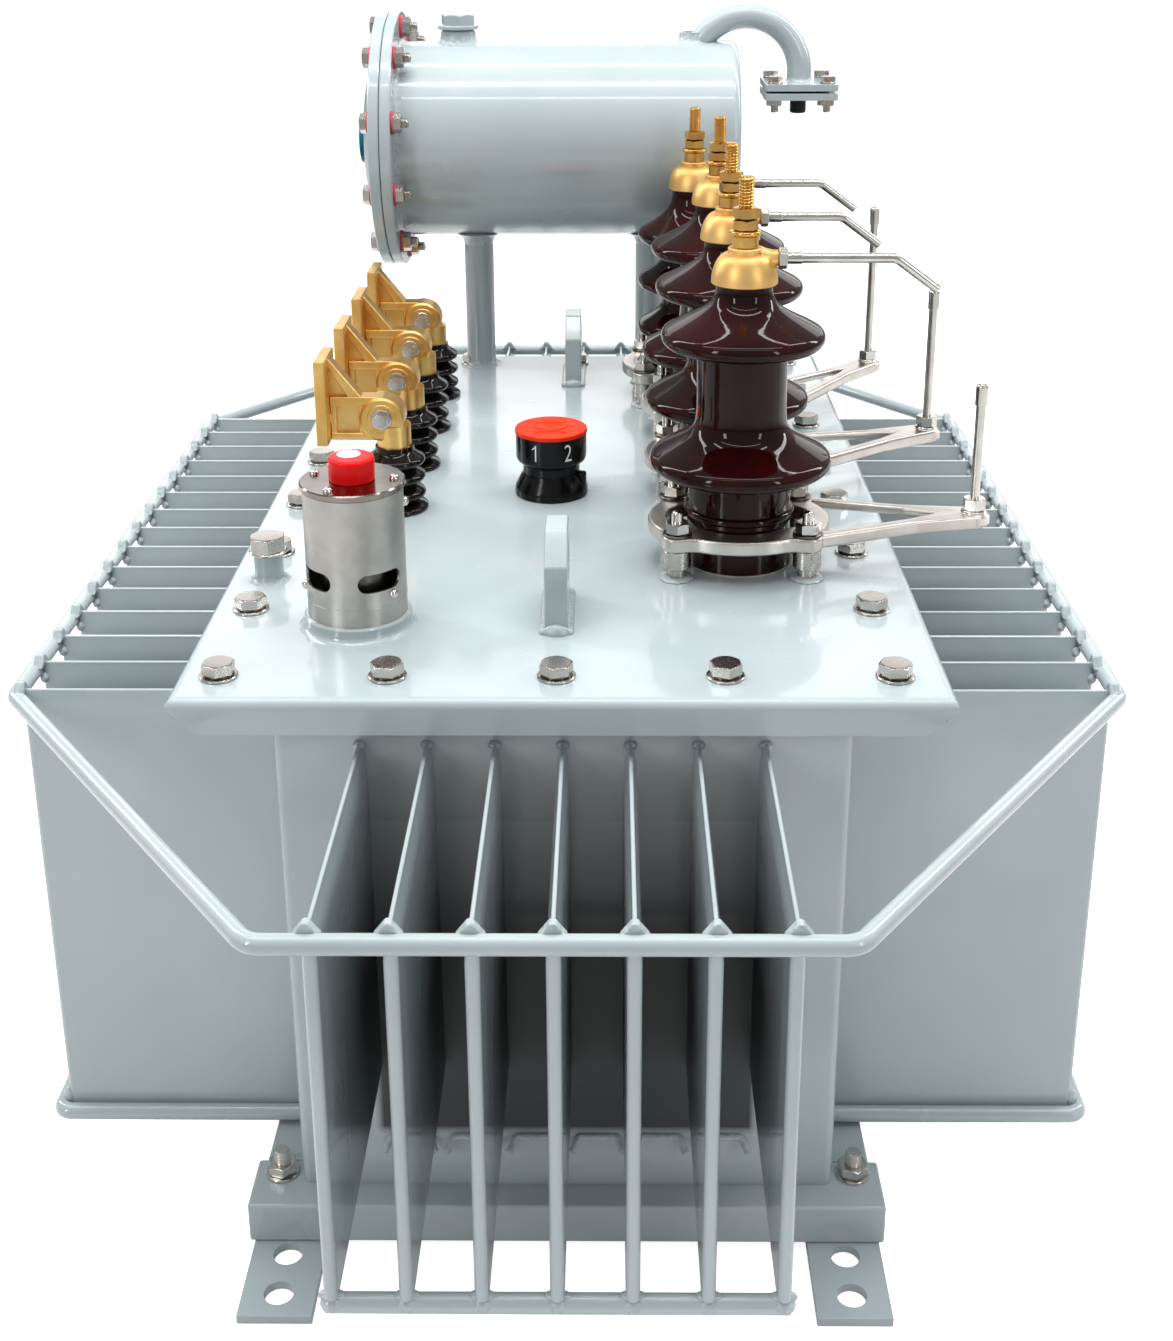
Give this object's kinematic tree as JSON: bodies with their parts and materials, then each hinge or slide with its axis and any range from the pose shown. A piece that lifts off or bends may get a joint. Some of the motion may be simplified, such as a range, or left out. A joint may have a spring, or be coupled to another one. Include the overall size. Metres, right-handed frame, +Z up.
{
  "type": "power transformer",
  "caption": "Oil-filled distribution transformer: corrugated tank with tie bars, lid with bushings and arcing horns, conservator drum and channel base.",
  "frame": {"origin": "on the ground under the middle of the lid", "axes": "+X towards the high-voltage side, +Y towards the conservator, +Z up"},
  "size_m": [0.771, 1.199, 0.797],
  "materials": {
    "tank_paint": "gloss enamel, light blue grey",
    "hv_glaze": "high gloss dark brown glaze",
    "lv_glaze": "high gloss black glaze",
    "cap_brass": "matt gilt",
    "stud_brass": "machined and lightly aged",
    "clamp_alloy": "satin cast",
    "stainless": "satin",
    "terminal_brass": "matt cast",
    "tap_plastic": "semi gloss black",
    "tap_cap_plastic": "gloss orange red",
    "relief_cap_plastic": "gloss red",
    "gauge_plastic": "clear teal"
  },
  "bodies": {
    "root": {"back_fins": "tank_paint", "base_channel_back": "tank_paint", "base_channel_front": "tank_paint", "base_side_members": "tank_paint", "bottom_bar_back": "tank_paint", "bottom_bar_front": "tank_paint", "bottom_bar_left": "tank_paint", "bottom_bar_right": "tank_paint", "breather_flanges": "tank_paint", "breather_pipe": "tank_paint", "conservator_cover": "tank_paint", "conservator_flange": "tank_paint", "conservator_legs": "tank_paint", "conservator_shell": "tank_paint", "filler_cap": "tank_paint", "foot_plates": "tank_paint", "front_fins": "tank_paint", "hv_bushing_1": "hv_glaze", "hv_bushing_2": "hv_glaze", "hv_bushing_3": "hv_glaze", "hv_bushing_4": "hv_glaze", "hv_caps": "cap_brass", "hv_clamps": "clamp_alloy", "hv_studs": "stud_brass", "left_fins": "tank_paint", "lid": "tank_paint", "lifting_lugs": "tank_paint", "lower_horns": "stainless", "lv_bushings": "lv_glaze", "lv_terminals": "terminal_brass", "oil_gauge": "gauge_plastic", "relief_body": "stainless", "relief_cap": "relief_cap_plastic", "relief_plate": "stainless", "relief_ring": "tank_paint", "right_fins": "tank_paint", "stub_pipe": "tank_paint", "tank_body": "tank_paint", "tank_rim": "tank_paint", "tap_cap": "tap_cap_plastic", "tap_changer": "tap_plastic", "top_bar_back": "tank_paint", "top_bar_diagonals": "tank_paint", "top_bar_front": "tank_paint", "top_bar_left": "tank_paint", "top_bar_right": "tank_paint", "upper_horns": "stainless"}
  },
  "joints": []
}
